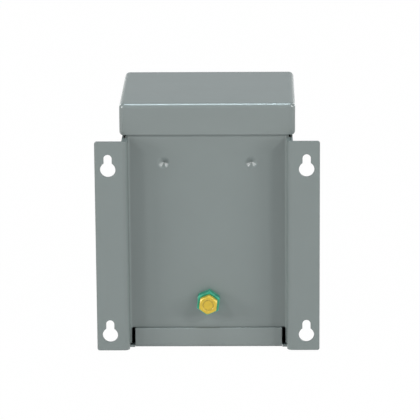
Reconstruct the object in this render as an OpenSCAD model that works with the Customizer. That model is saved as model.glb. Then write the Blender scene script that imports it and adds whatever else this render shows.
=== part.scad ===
// Encapsulated buck boost transformer in a folded steel case for wall mounting.
// The frame stands at the middle of the underside. +Z is up and +Y is towards the wall,
// so the mounting ears are at the back (+Y) and the wiring cover at the front (-Y).

/* [Case body] */
// Width over the side walls
body_w = 147.6; // [144:0.2:170]
// Depth from the back panel's outer face to the front wall's outer face
body_d = 129.6; // [122:0.2:150]
// Height of the whole case
case_h = 219.6; // [212:0.2:250]
// Thickness of the case sheet
sheet_t = 1.9; // [1.5:0.1:2.4]
// Inside radius of the folds in the case sheet
fold_r = 2.1; // [1.5:0.1:2.6]
// Clearance between sheets that lap
lap_gap = 0.3; // [0.2:0.05:0.5]

/* [Lid] */
// Height of the lid's skirt at the front and back
lid_skirt = 27.7; // [22:0.1:34]
// Outside radius of the folds round the lid's top
lid_fold_r = 4; // [3:0.1:4.4]
// Outside radius of the lid's upright corners
lid_corner_r = 4.5; // [4.4:0.1:6]
// How much shorter the side skirts are than the front and back ones
lid_side_lift = 1.7; // [0.5:0.1:4]
// Radius of the skirt's lower tips
lid_tip_r = 3; // [1.5:0.1:4]
// Height of the lid screws above the skirt's lower edge
lid_screw_z = 13; // [10:0.5:16]
// Distance of the lid screws from the lid's sides
lid_screw_inset = 26; // [12:1:45]

/* [Back bracket] */
// Thickness of the bracket sheet
bracket_t = 2.7; // [2:0.1:3.2]
// Width of a mounting ear, from the outer face of its web
ear_w = 25.5; // [22:0.1:36]
// Distance from the mounting plane to the back panel
recess = 17.2; // [15.5:0.1:24]
// Inside radius of the bracket's folds
bracket_fold_r = 2.1; // [1.5:0.1:3]
// Gap between the ears' top edge and the lid's lower edge
ear_drop = 2.5; // [1.5:0.1:6]
// Radius of the ears' corners
ear_corner_r = 2; // [1:0.1:5]
// Distance of a keyhole's centre from the ear's outer edge
key_edge_x = 11.4; // [9:0.1:13]
// Height of a lower keyhole's round end above the ear's lower edge
key_low_z = 14; // [9:0.5:30]
// Distance of an upper keyhole's round end below the ear's top edge
key_high_drop = 24.8; // [20:0.2:40]
// Diameter of a keyhole's round end
key_d = 13.3; // [12:0.1:15]
// Width of a keyhole's slot
key_slot_w = 7.1; // [5:0.1:8]
// Height of a whole keyhole
key_h = 20.1; // [18:0.1:24]
// Gap left under the panel's lower edge
panel_foot_gap = 1.5; // [1.4:0.1:3]
// How much narrower the panel is above the ears, on each side
panel_top_inset = 1.2; // [0.8:0.1:2]

/* [Bracket dimples] */
// Distance between the two dimples
dimple_spacing = 75.9; // [60:0.1:90]
// Distance of the dimples below the ears' top edge
dimple_drop = 22.7; // [18:0.1:26]
// Radius at which a dimple's rim meets the panel's face
dimple_r = 6; // [5:0.1:8]
// Radius of the rounding of a dimple's rim
dimple_rim_r = 3.2; // [1:0.1:4]
// Slope of a dimple's cone from the panel's face
dimple_slope = 33; // [20:1:36]
// Radius of a dimple's blunt tip
dimple_tip_r = 0.5; // [0.3:0.1:1]

/* [Bottom tray] */
// Height of the turned-up rear flange above the ground
tray_rear_h = 17.7; // [14:0.1:22]
// Inside radius of the folds in the tray
tray_fold_r = 1.1; // [0.8:0.1:2]
// Gap between each end of the rear flange and the bracket's web
tray_end_gap = 4.3; // [3:0.1:6]
// Height of the turned-up front and side flanges above the ground
tray_side_h = 14; // [10:0.5:20]
// Width of the relief slit beside the rear fold
tray_relief = 0.3; // [0.2:0.1:1.5]
// Diameter of the outer knockout ring
knock_outer_d = 28; // [26:0.5:30]
// Diameter of the inner knockout slug
knock_inner_d = 22; // [20:0.5:23]
// Distance between the two knockouts in the tray
knock_spacing = 62; // [50:1:70]
// Width of a knockout's sheared groove
knock_groove_w = 0.6; // [0.4:0.1:1]
// Depth of a knockout's sheared groove
knock_groove_t = 1.1; // [0.6:0.1:1.3]

/* [Wiring room] */
// Height inside the wiring room, from the tray to the lead board
wire_room_h = 60; // [54:1:66]
// Distance of the wiring cover's edges from the case's sides
cover_inset = 5.8; // [4:0.1:12]
// Radius of the upper corners of the front opening
window_r = 4; // [2:0.5:8]
// How far the wiring cover laps the front wall
cover_lap = 9; // [8:0.5:10]
// Radius of the wiring cover's corners
cover_corner_r = 4; // [2:0.5:6]
// Distance of the cover screws from its upper and lower edges
cover_screw_inset = 8; // [6:0.5:14]
// Thickness of the lead board
board_t = 3; // [2:0.5:4]

/* [Ground fastener] */
// Height of the ground bolt above the ground
ground_z = 41.8; // [36:0.2:44]
// Width across flats of the ground bolt's head
bolt_af = 15; // [13:0.1:16]
// Thickness of the ground bolt's head
bolt_head_h = 6; // [4.5:0.1:6.5]
// Diameter of the ground bolt's shank
bolt_d = 9.5; // [8:0.1:10]
// Length of the ground bolt's end past the inner nut
bolt_tail = 6; // [3:0.5:9]
// Width across flats of the green ground nut
ground_nut_af = 19; // [17:0.1:20]
// Thickness of the green ground nut
ground_nut_h = 8.2; // [6:0.1:8.5]
// Turn of the ground fasteners about their axis
hex_turn = 23; // [0:1:59]

/* [Core and coil] */
// Potting between the core and each side wall
side_fill = 10.1; // [8:0.1:14]
// Depth of the lamination stack
stack_d = 57; // [50:1:60]
// Gap between the lead board and the core
core_lift = 7; // [5:0.5:10]
// Wall of the coil former
former_t = 1.5; // [1:0.1:2]
// Share of the coil's build that the primary windings take
primary_share = 0.595; // [0.45:0.005:0.7]
// Gap between the coil and the core's outer legs
coil_leg_gap = 2.3; // [1.5:0.1:3]
// Thickness of each layer of insulation
wrap_t = 0.4; // [0.3:0.05:0.5]
// Thickness of the clamp bars
clamp_t = 2.5; // [2:0.1:3]
// Diameter of the core bolts
core_bolt_d = 5; // [4:0.1:5.5]
// Height of the potting above the core
pot_cover = 14; // [8:0.5:20]
// Distance of the potting's top below the ears' top edge
pot_drop = 1; // [0.5:0.1:8]

/* [Leads] */
// Diameter of a lead over its insulation
lead_d = 4; // [3:0.1:4.5]
// Spacing of neighbouring leads
lead_pitch = 11; // [9:0.5:13]
// Gap between the two middle leads, which spans the ground bolt
lead_mid_gap = 25; // [23:0.5:28]
// Distance of the leads from the core's clamps
lead_stand_off = 8; // [5:0.5:10]
// Height at which the leads turn to the front
lead_turn_z = 31; // [26:0.5:34]
// Gap between the ends of the primary leads and the wiring cover
lead_end_gap = 3.4; // [2:0.2:12]

/* [Hidden] */
$fn = 64;
eps = 0.01;
// How far a cut runs past what it cuts
over = 1;

// Washer-head screws that hold the cover and the lid
screw_d = 4;
screw_len = 8;
screw_washer_d = 9;
screw_washer_h = 0.9;
screw_af = 6.4;
screw_head_h = 1.9;
screw_slot_w = 1;
screw_slot_t = 0.9;
screw_clearance = 0.2;
screw_proud = screw_washer_h + screw_head_h;

// Widths and depths, from the outside in
side_x = body_w / 2;
side_in_x = side_x - sheet_t;
web_out_x = side_in_x - lap_gap;
web_in_x = web_out_x - bracket_t;
panel_top_x = web_out_x - panel_top_inset;
lid_half_w = side_x + lap_gap + sheet_t;
total_d = recess + body_d + lap_gap + sheet_t + screw_proud;
wall_y = total_d / 2;
panel_y = wall_y - recess;
panel_in_y = panel_y - bracket_t;
front_y = panel_y - body_d;
front_in_y = front_y + sheet_t;
lid_back_y = panel_y + lap_gap + sheet_t;
lid_front_y = front_y - lap_gap - sheet_t;
mid_y = (panel_in_y + front_in_y) / 2;
fold_out = fold_r + sheet_t;
ear_fold_y = wall_y - bracket_t - bracket_fold_r;
wall_step_in = 5;
wall_step_y = panel_in_y - wall_step_in;
bracket_half_w = web_out_x + ear_w;
lid_screw_x = lid_half_w - lid_screw_inset;

// Heights, from the ground up
lid_low_z = case_h - lid_skirt;
ear_low_z = sheet_t;
ear_top_z = lid_low_z - ear_drop;
panel_low_z = sheet_t + panel_foot_gap;
wall_top_z = case_h - lid_fold_r;
dimple_z = ear_top_z - dimple_drop;
board_z = sheet_t + wire_room_h;
pot_low_z = board_z + board_t;
screw_row_z = lid_low_z + lid_screw_z;

// Keyholes
key_x = bracket_half_w - key_edge_x;
key_zs = [ear_low_z + key_low_z, ear_top_z - key_high_drop];

// Dimples, each a blunt cone with a rolled rim
dimple_cone_r = dimple_r - dimple_rim_r * sin(dimple_slope);
dimple_cone_t = dimple_rim_r * (1 - cos(dimple_slope));
dimple_depth = dimple_cone_t + (dimple_cone_r - dimple_tip_r) * tan(dimple_slope);
dimple_bump_tip_r = 2;

// Tray and its flanges
tray_rear_y = lid_back_y;
tray_half_w = side_in_x - lap_gap;
tray_flange_x = web_in_x - tray_end_gap;
tray_notch_rise = 0.3;
tray_notch_top = tray_rear_h + tray_notch_rise;
corner_notch_in = 1.4;
corner_notch_r = 1.5;
corner_notch_lap = 1.5;
tray_out = tray_fold_r + sheet_t;
tray_floor_y = front_in_y + lap_gap;
tray_relief_gap = 1;
tray_relief_y = panel_in_y - bracket_fold_r - tray_relief_gap;
tray_tab_inset = 0.7;

// Wiring cover
cover_half_w = side_x - cover_inset;
cover_low_z = sheet_t;
cover_top_z = board_z;
window_half_w = cover_half_w - cover_lap;
window_top_z = cover_top_z - cover_lap;
cover_screw_x = window_half_w + cover_lap / 2;
cover_screw_zs = [cover_low_z + cover_screw_inset, cover_top_z - cover_screw_inset];

// Ground fastener parts, counted from the back panel inwards
bolt_clearance = 0.15;
bolt_hole_gap = 0.3;
bolt_hole_d = bolt_d + 2 * bolt_hole_gap;
bolt_chamfer_in = 0.4;
bolt_chamfer_slope = 38;
bolt_dish_in = 2.3;
bolt_dish_t = 0.6;
nut_chamfer = 0.9;
star_t = 1.4;
star_d = 17;
lug_t = 1.6;
lug_ring_d = 18;
lug_w = 9;
lug_len = 24;
inner_nut_af = 14.3;
inner_nut_h = 8.2;
bolt_len = ground_nut_h + bracket_t + star_t + lug_t + inner_nut_h + bolt_tail;

// Core, an E stack closed by an I stack: the middle leg is as wide as two outer ones
core_half_w = side_in_x - lap_gap - side_fill;
leg_w = core_half_w / 3;
pot_top_z = ear_top_z - pot_drop;
core_low_z = pot_low_z + core_lift;
core_top_z = pot_top_z - pot_cover;
yoke_top_z = core_low_z + leg_w;
i_low_z = core_top_z - leg_w;
window_h = i_low_z - yoke_top_z;
stack_half_d = stack_d / 2;
bolt_x = core_half_w - leg_w / 2;
bolt_zs = [core_low_z + leg_w / 2, core_top_z - leg_w / 2];
core_bolt_gap = 0.2;
core_nut_af = 8;
core_nut_h = 4;
core_nut_gap = 0.2;
core_bolt_head_h = 3.5;
core_bolt_tail = 2;
clamp_inset = 2;
hanger_reach = panel_in_y - dimple_depth - (mid_y + stack_half_d);
hanger_foot_h = 16;
hanger_overhang = 8;
hanger_half_w = dimple_spacing / 2 + hanger_overhang;

// Coil, wound in layers round the middle leg
coil_gap = 0.3;
former_in_x = leg_w + coil_gap;
former_in_y = stack_half_d + coil_gap;
former_low_z = yoke_top_z + coil_gap;
former_h = window_h - 2 * coil_gap;
former_lip_gap = 2.2;
former_lip = leg_w - coil_gap - former_lip_gap;
coil_build = leg_w - coil_gap - former_t - 4 * wrap_t - coil_leg_gap;
primary_build = primary_share * coil_build / 2;
secondary_build = (1 - primary_share) * coil_build / 2;
layer_builds = [primary_build, wrap_t, primary_build, wrap_t,
    secondary_build, wrap_t, secondary_build, wrap_t];
layer_corner_r = 1.5;

// Leads, four from the primaries at the front and four from the secondaries at the back
lead_in_x = lead_mid_gap / 2;
lead_out_x = lead_in_x + lead_pitch;
lead_xs = [-lead_out_x, -lead_in_x, lead_in_x, lead_out_x];
lead_off = stack_half_d + clamp_t + lead_stand_off;
lead_bend_r = 6;
lead_tail = mid_y - lead_off - lead_bend_r - front_y - lead_end_gap;
lead_clearance = 0.15;
bushing_end = 6;
bushing_half_w = lead_out_x + bushing_end;
bushing_r = 6;
bushing_lip = 1.5;
bushing_lip_t = 1.2;
bushing_slot = 0.2;

// A quarter of a ring in the +X +Y quadrant
module quarter_ring(r_in, r_out) {
    intersection() {
        difference() {
            circle(r = r_out);
            circle(r = r_in);
        }
        square(r_out + over);
    }
}

// A rectangle about the origin with round corners
module round_rect(half_w, half_d, r) {
    square([2 * (half_w - r), 2 * half_d], center = true);
    square([2 * half_w, 2 * (half_d - r)], center = true);
    for (sx = [-1, 1], sy = [-1, 1])
        translate([sx * (half_w - r), sy * (half_d - r)])
            circle(r = r);
}

// What has to go from a square corner at the origin to leave radius r, in the -X -Y quadrant
module corner_waste(r) {
    difference() {
        translate([-r, -r])
            square(r + over);
        translate([-r, -r])
            circle(r = r);
    }
}

// Both of a pair that is the same left and right
module pair() {
    children();
    mirror([1, 0, 0])
        children();
}

// Turn a shape drawn upwards so that its top points to the back
module face_back(x, y, z) {
    translate([x, y, z])
        rotate([-90, 0, 0])
            children();
}

// Turn a shape drawn upwards so that its top points to the front
module face_front(x, y, z) {
    translate([x, y, z])
        rotate([90, 0, 0])
            children();
}

// Hexagonal prism by its width across flats
module hex_prism(af, h) {
    cylinder(d = af / cos(30), h = h, $fn = 6);
}

// Plan of the bracket: panel, webs and ears in one folded sheet
module bracket_plan() {
    r_out = bracket_fold_r + bracket_t;
    translate([-(web_in_x - bracket_fold_r), panel_in_y])
        square([2 * (web_in_x - bracket_fold_r), bracket_t]);
    pair() {
        translate([web_in_x - bracket_fold_r, panel_y + bracket_fold_r])
            mirror([0, 1])
                quarter_ring(bracket_fold_r, r_out);
        translate([web_in_x, panel_y + bracket_fold_r])
            square([bracket_t, ear_fold_y - panel_y - bracket_fold_r]);
        translate([web_out_x + bracket_fold_r, ear_fold_y])
            mirror([1, 0])
                quarter_ring(bracket_fold_r, r_out);
        translate([web_out_x + bracket_fold_r, wall_y - bracket_t])
            square([ear_w - bracket_fold_r, bracket_t]);
    }
}

// Keyhole drawn in X and Z about the centre of its round end, cut along Y
module keyhole_cut() {
    slot_r = key_slot_w / 2;
    rise = key_h - key_d / 2 - slot_r;
    face_front(0, wall_y + over, 0)
        linear_extrude(bracket_t + 2 * over) {
            circle(d = key_d);
            translate([-slot_r, 0])
                square([key_slot_w, rise]);
            translate([0, rise])
                circle(r = slot_r);
        }
}

// Round off an ear's two outer corners
module ear_corner_cuts() {
    for (z = [ear_low_z, ear_top_z])
        translate([bracket_half_w, wall_y + over, z])
            rotate([90, 0, 0])
                linear_extrude(bracket_t + 2 * over)
                    mirror([0, z == ear_low_z ? 1 : 0])
                        corner_waste(ear_corner_r);
}

// Slot at a lower corner of the panel, where the fold is relieved
module corner_notch() {
    left = tray_flange_x - corner_notch_lap;
    right = web_in_x - corner_notch_in;
    depth = bracket_t + 2 * (bracket_fold_r + over);
    translate([left, panel_in_y - bracket_fold_r - over, 0])
        cube([right - left, depth, tray_notch_top - corner_notch_r]);
    face_front((left + right) / 2, panel_y + bracket_fold_r + over, tray_notch_top - corner_notch_r)
        linear_extrude(depth)
            intersection() {
                translate([-(right - left) / 2, -over])
                    square([right - left, corner_notch_r + over]);
                round_rect((right - left) / 2, corner_notch_r, corner_notch_r - eps);
            }
}

// Bump that a dimple raises on the inner face of the panel
module dimple_bump() {
    face_front(0, panel_in_y + eps, 0)
        cylinder(r1 = dimple_r, r2 = dimple_bump_tip_r, h = dimple_depth + eps);
}

// Hollow of a dimple, seen from the back: x is the radius and y runs into the panel
module dimple_hollow() {
    face_front(0, panel_y, 0)
        rotate_extrude()
            difference() {
                polygon([[0, -over], [dimple_r, -over], [dimple_r, 0], [dimple_cone_r, dimple_cone_t],
                    [dimple_tip_r, dimple_depth], [0, dimple_depth]]);
                translate([dimple_r, dimple_rim_r])
                    circle(r = dimple_rim_r);
            }
}

module back_bracket() {
    color("#89938f")
        difference() {
            union() {
                translate([0, 0, ear_low_z])
                    linear_extrude(ear_top_z - ear_low_z)
                        bracket_plan();
                translate([-panel_top_x, panel_in_y, ear_top_z])
                    cube([2 * panel_top_x, bracket_t, wall_top_z - ear_top_z]);
                pair()
                    translate([dimple_spacing / 2, 0, dimple_z])
                        dimple_bump();
            }
            pair() {
                for (z = key_zs)
                    translate([key_x, 0, z])
                        keyhole_cut();
                ear_corner_cuts();
                corner_notch();
                translate([dimple_spacing / 2, 0, dimple_z])
                    dimple_hollow();
            }
            translate([-side_x, front_y, 0])
                cube([body_w, tray_rear_y + lap_gap - front_y, panel_low_z]);
            face_front(0, panel_y + over, ground_z)
                cylinder(d = bolt_hole_d, h = bracket_t + 2 * over);
        }
}

// Plan of the wrap: front wall and side walls in one folded sheet
module wrap_plan() {
    translate([-(side_x - fold_out), front_y])
        square([2 * (side_x - fold_out), sheet_t]);
    pair() {
        translate([side_x - fold_out, front_y + fold_out])
            mirror([0, 1])
                quarter_ring(fold_r, fold_out);
        translate([side_in_x, front_y + fold_out])
            square([sheet_t, ear_fold_y - front_y - fold_out]);
    }
}

// Two concentric grooves of a knockout, cut down from the plane z = 0
module knockout_grooves() {
    for (d = [knock_outer_d, knock_inner_d])
        translate([0, 0, -knock_groove_t])
            difference() {
                cylinder(d = d, h = knock_groove_t + over);
                translate([0, 0, -over])
                    cylinder(d = d - 2 * knock_groove_w, h = knock_groove_t + 3 * over);
            }
}

module case_wrap() {
    color("#87918d")
        difference() {
            translate([0, 0, sheet_t])
                linear_extrude(wall_top_z - sheet_t)
                    wrap_plan();
            translate([-side_x - over, wall_step_y, ear_top_z])
                cube([body_w + 2 * over, recess + bracket_t + 2 * over, wall_top_z]);
            face_front(0, front_in_y + over, 0)
                linear_extrude(sheet_t + 2 * over) {
                    translate([-window_half_w, 0])
                        square([2 * window_half_w, window_top_z - window_r]);
                    translate([0, window_top_z - 2 * window_r])
                        round_rect(window_half_w, 2 * window_r, window_r);
                }
            pair() {
                for (z = cover_screw_zs)
                    face_front(cover_screw_x, front_in_y + over, z)
                        cylinder(d = screw_d + screw_clearance, h = sheet_t + 2 * over);
                face_front(lid_screw_x, front_in_y + over, screw_row_z)
                    cylinder(d = screw_d + screw_clearance, h = sheet_t + 2 * over);
                translate([side_x, mid_y, sheet_t + wire_room_h / 2])
                    rotate([0, 90, 0])
                        knockout_grooves();
            }
        }
}

// A turned-up flange with its fold, drawn with its outer face on y = 0 and the tray in +Y
module turned_flange(half_w, h) {
    translate([-half_w, 0, 0])
        rotate([90, 0, 90])
            linear_extrude(2 * half_w) {
                translate([tray_out, tray_out])
                    rotate(180)
                        quarter_ring(tray_fold_r, tray_out);
                translate([0, tray_out])
                    square([sheet_t, h - tray_out]);
            }
}

module bottom_tray() {
    floor_half_w = tray_half_w - tray_out;
    side_front_y = tray_floor_y + tray_out;
    side_half_d = (tray_relief_y - side_front_y) / 2;
    front_half_w = window_half_w - lap_gap;
    tab_in_x = tray_flange_x + tray_relief;
    color("#87918d")
        difference() {
            union() {
                difference() {
                    translate([-floor_half_w, tray_floor_y, 0])
                        cube([2 * floor_half_w, tray_relief_y - tray_floor_y, sheet_t]);
                    translate([-front_half_w, tray_floor_y - over, -over])
                        cube([2 * front_half_w, front_y + tray_out - tray_floor_y + over,
                            sheet_t + 2 * over]);
                }
                pair()
                    translate([tray_half_w, side_front_y + side_half_d, 0])
                        rotate([0, 0, 90])
                            turned_flange(side_half_d, tray_side_h);
                translate([-tray_flange_x, tray_relief_y, 0])
                    cube([2 * tray_flange_x, tray_rear_y - tray_out - tray_relief_y, sheet_t]);
                translate([0, tray_rear_y, 0])
                    mirror([0, 1, 0])
                        turned_flange(tray_flange_x, tray_rear_h);
                pair()
                    translate([tab_in_x, tray_relief_y, 0])
                        cube([tray_half_w - tab_in_x,
                            tray_rear_y - tray_tab_inset - tray_relief_y, sheet_t]);
                translate([0, front_y, 0])
                    turned_flange(front_half_w, tray_side_h);
            }
            for (sx = [-1, 1])
                translate([sx * knock_spacing / 2, mid_y, 0])
                    mirror([0, 0, 1])
                        knockout_grooves();
        }
}

// Section of the lid's skirt and top fold: x runs outwards from the corner's axis
module lid_section() {
    top_in = case_h - sheet_t;
    fold_x = lid_corner_r - lid_fold_r;
    translate([0, top_in])
        square([fold_x, sheet_t]);
    translate([fold_x, case_h - lid_fold_r])
        quarter_ring(lid_fold_r - sheet_t, lid_fold_r);
    translate([lid_corner_r - sheet_t, lid_low_z])
        square([sheet_t, lid_skirt - lid_fold_r]);
}

module lid() {
    core_x = lid_half_w - lid_corner_r;
    core_front = lid_front_y + lid_corner_r;
    core_back = lid_back_y - lid_corner_r;
    reach = lid_corner_r + over;
    color("#8d9699")
        difference() {
            union() {
                translate([-core_x, core_front, case_h - sheet_t])
                    cube([2 * core_x, core_back - core_front, sheet_t]);
                pair() {
                    translate([core_x, core_back, 0])
                        rotate([90, 0, 0])
                            linear_extrude(core_back - core_front)
                                lid_section();
                    translate([core_x, core_back, 0])
                        rotate_extrude(angle = 90)
                            lid_section();
                    translate([core_x, core_front, 0])
                        rotate([0, 0, -90])
                            rotate_extrude(angle = 90)
                                lid_section();
                }
                translate([core_x, core_back, 0])
                    rotate([90, 0, -90])
                        mirror([1, 0, 0])
                            linear_extrude(2 * core_x)
                                lid_section();
                translate([-core_x, core_front, 0])
                    rotate([90, 0, 90])
                        mirror([1, 0, 0])
                            linear_extrude(2 * core_x)
                                lid_section();
            }
            pair() {
                translate([core_x, core_front, lid_low_z - over])
                    cube([reach, core_back - core_front, lid_side_lift + over]);
                translate([lid_half_w, lid_back_y + over, lid_low_z])
                    rotate([90, 0, 0])
                        linear_extrude(lid_back_y - lid_front_y + 2 * over)
                            mirror([0, 1])
                                corner_waste(lid_tip_r);
                face_front(lid_screw_x, front_y + over, screw_row_z)
                    cylinder(d = screw_d + 2 * screw_clearance, h = sheet_t + lap_gap + 2 * over);
            }
        }
}

module wiring_cover() {
    half_h = (cover_top_z - cover_low_z) / 2;
    color("#87918d")
        difference() {
            face_front(0, front_y, cover_low_z + half_h)
                linear_extrude(sheet_t)
                    round_rect(cover_half_w, half_h, cover_corner_r);
            pair()
                for (z = cover_screw_zs)
                    face_front(cover_screw_x, front_y + over, z)
                        cylinder(d = screw_d + 2 * screw_clearance, h = sheet_t + 2 * over);
        }
}

// Slotted hex washer-head screw, its seat on z = 0 and its shank below
module washer_screw() {
    translate([0, 0, -screw_len])
        cylinder(d = screw_d, h = screw_len + eps);
    cylinder(d = screw_washer_d, h = screw_washer_h);
    translate([0, 0, screw_washer_h - eps])
        difference() {
            intersection() {
                hex_prism(screw_af, screw_head_h + eps);
                cylinder(r1 = screw_af, r2 = screw_af / 2, h = screw_head_h + eps);
            }
            translate([-screw_af, -screw_slot_w / 2, screw_head_h - screw_slot_t])
                cube([2 * screw_af, screw_slot_w, screw_slot_t + over]);
        }
}

module cover_screws() {
    color("#b9bcb8")
        pair()
            for (z = cover_screw_zs)
                face_front(cover_screw_x, front_y - sheet_t, z)
                    washer_screw();
}

module lid_screws() {
    color("#b9bcb8")
        pair()
            face_front(lid_screw_x, lid_front_y, screw_row_z)
                washer_screw();
}

// Yellow bolt: its head is seated on the green nut and has a dished round face
module ground_bolt() {
    face_r = bolt_af / 2 - bolt_chamfer_in;
    dish_r = bolt_af / 2 - bolt_dish_in;
    color("#c9b341")
        face_back(0, panel_y + ground_nut_h, ground_z)
            rotate(hex_turn) {
                translate([0, 0, -bolt_len])
                    cylinder(d = bolt_d, h = bolt_len + eps);
                difference() {
                    intersection() {
                        hex_prism(bolt_af, bolt_head_h);
                        cylinder(r1 = face_r + bolt_head_h / tan(bolt_chamfer_slope), r2 = face_r,
                            h = bolt_head_h);
                    }
                    translate([0, 0, bolt_head_h - bolt_dish_t])
                        cylinder(r1 = dish_r - bolt_dish_t, r2 = dish_r, h = bolt_dish_t + eps);
                }
            }
}

// Nut with chamfered corners on its outer face
module chamfered_nut(af, h, bore) {
    across = af / cos(30);
    difference() {
        intersection() {
            hex_prism(af, h);
            union() {
                cylinder(d = across + over, h = h - nut_chamfer);
                translate([0, 0, h - nut_chamfer - eps])
                    cylinder(d1 = across + 0.4, d2 = af * 0.97, h = nut_chamfer + eps);
            }
        }
        translate([0, 0, -over])
            cylinder(d = bore, h = h + 2 * over);
    }
}

module ground_nut() {
    color("#1f9a78")
        face_back(0, panel_y, ground_z)
            rotate(hex_turn)
                chamfered_nut(ground_nut_af, ground_nut_h, bolt_d + 2 * bolt_clearance);
}

module ground_star_washer() {
    teeth = 10;
    color("#b9bcb8")
        face_front(0, panel_in_y, ground_z)
            difference() {
                cylinder(d = star_d, h = star_t);
                translate([0, 0, -over])
                    cylinder(d = bolt_d + 2 * bolt_clearance, h = star_t + 2 * over);
                for (i = [0 : teeth - 1])
                    rotate(i * 360 / teeth)
                        translate([star_d / 2, 0, -over])
                            cylinder(d = 2.4, h = star_t + 2 * over, $fn = 24);
            }
}

// Ring terminal with a crimp barrel that hangs down from the ground bolt
module ground_lug() {
    barrel_d = 7;
    barrel_len = 9;
    color("#c08a52")
        face_front(0, panel_in_y - star_t, ground_z)
            difference() {
                union() {
                    cylinder(d = lug_ring_d, h = lug_t);
                    translate([-lug_w / 2, -lug_len + barrel_len - eps, 0])
                        cube([lug_w, lug_len - barrel_len, lug_t]);
                    translate([0, -lug_len + barrel_len, barrel_d / 2])
                        rotate([90, 0, 0])
                            cylinder(d = barrel_d, h = barrel_len);
                }
                translate([0, 0, -over])
                    cylinder(d = bolt_d + 2 * bolt_clearance, h = lug_t + 2 * over);
                translate([0, -lug_len + barrel_len + over, barrel_d / 2])
                    rotate([90, 0, 0])
                        cylinder(d = lead_d, h = barrel_len + 2 * over);
            }
}

module ground_inner_nut() {
    color("#c9b341")
        face_front(0, panel_in_y - star_t - lug_t, ground_z)
            chamfered_nut(inner_nut_af, inner_nut_h, bolt_d + 2 * bolt_clearance);
}

// Plan of what fills the case, with its front corners clear of the wrap's folds
module room_plan() {
    half_w = side_in_x - lap_gap;
    front = front_in_y + lap_gap;
    difference() {
        translate([-half_w, front])
            square([2 * half_w, panel_in_y - lap_gap - front]);
        pair()
            translate([half_w, front])
                mirror([0, 1])
                    corner_waste(fold_r);
    }
}

// Slot in the lead board, round at both ends
module bushing_outline(grow) {
    round_rect(bushing_half_w + grow, bushing_r + grow, bushing_r + grow - eps);
}

module lead_board() {
    color("#7a5836")
        difference() {
            translate([0, 0, board_z])
                linear_extrude(board_t)
                    room_plan();
            for (sy = [-1, 1])
                translate([0, mid_y + sy * lead_off, board_z - over])
                    linear_extrude(board_t + 2 * over)
                        bushing_outline(bushing_slot);
        }
}

// Rubber bushing that guides four leads through the lead board
module lead_bushing(sy) {
    translate([0, mid_y + sy * lead_off, board_z - bushing_lip_t])
        difference() {
            union() {
                linear_extrude(bushing_lip_t)
                    bushing_outline(bushing_lip);
                linear_extrude(bushing_lip_t + board_t)
                    bushing_outline(0);
            }
            for (x = lead_xs)
                translate([x, 0, -over])
                    cylinder(d = lead_d + 2 * lead_clearance, h = board_t + bushing_lip_t + 2 * over);
        }
}

module primary_bushing() {
    color("#2b2b2b")
        lead_bushing(-1);
}

module secondary_bushing() {
    color("#2b2b2b")
        lead_bushing(1);
}

// Holes for the core bolts, all the way through along Y
module core_bolt_holes() {
    for (x = [-bolt_x, bolt_x], z = bolt_zs)
        face_front(x, mid_y + stack_half_d + clamp_t + over, z)
            cylinder(d = core_bolt_d + 2 * core_bolt_gap, h = stack_d + 2 * clamp_t + 2 * over);
}

module e_laminations() {
    color("#5d6166")
        difference() {
            translate([-core_half_w, mid_y - stack_half_d, core_low_z])
                cube([2 * core_half_w, stack_d, leg_w + window_h]);
            pair()
                translate([leg_w, mid_y - stack_half_d - over, yoke_top_z])
                    cube([leg_w, stack_d + 2 * over, window_h + over]);
            core_bolt_holes();
        }
}

module i_laminations() {
    color("#676b70")
        difference() {
            translate([-core_half_w, mid_y - stack_half_d, i_low_z])
                cube([2 * core_half_w, stack_d, leg_w]);
            core_bolt_holes();
        }
}

// Flat clamp bar on a yoke, on the front (sy = -1) or the back (sy = 1) of the stack
module clamp_bar(sy, z) {
    face = mid_y + sy * stack_half_d;
    translate([-core_half_w, sy > 0 ? face : face - clamp_t, z + clamp_inset])
        cube([2 * core_half_w, clamp_t, leg_w - 2 * clamp_inset]);
}

module top_front_clamp() {
    color("#4a4f52")
        difference() {
            clamp_bar(-1, i_low_z);
            core_bolt_holes();
        }
}

// Clamp bar with an arm and a foot that bears on the bracket's dimples
module top_rear_hanger() {
    face = mid_y + stack_half_d;
    arm_z = i_low_z + leg_w - clamp_inset - clamp_t;
    color("#4a4f52")
        difference() {
            union() {
                clamp_bar(1, i_low_z);
                translate([-hanger_half_w, face, arm_z])
                    cube([2 * hanger_half_w, hanger_reach, clamp_t]);
                translate([-hanger_half_w, face + hanger_reach - clamp_t,
                    dimple_z - hanger_foot_h / 2])
                    cube([2 * hanger_half_w, clamp_t,
                        arm_z + clamp_t - dimple_z + hanger_foot_h / 2]);
            }
            core_bolt_holes();
        }
}

module bottom_front_clamp() {
    color("#4a4f52")
        difference() {
            clamp_bar(-1, core_low_z);
            core_bolt_holes();
        }
}

module bottom_rear_clamp() {
    color("#4a4f52")
        difference() {
            clamp_bar(1, core_low_z);
            core_bolt_holes();
        }
}

// Four bolts with their heads at the back of the core
module core_bolts() {
    reach = stack_d + 2 * clamp_t;
    color("#b9bcb8")
        for (x = [-bolt_x, bolt_x], z = bolt_zs)
            face_back(x, mid_y + stack_half_d + clamp_t, z) {
                translate([0, 0, -reach - core_nut_h - core_bolt_tail])
                    cylinder(d = core_bolt_d, h = reach + core_nut_h + core_bolt_tail + eps);
                hex_prism(core_nut_af, core_bolt_head_h);
            }
}

module core_nuts() {
    color("#b9bcb8")
        for (x = [-bolt_x, bolt_x], z = bolt_zs)
            face_front(x, mid_y - stack_half_d - clamp_t, z)
                difference() {
                    hex_prism(core_nut_af, core_nut_h);
                    translate([0, 0, -over])
                        cylinder(d = core_bolt_d + core_bolt_gap, h = core_nut_h + 2 * over);
                }
}

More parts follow.
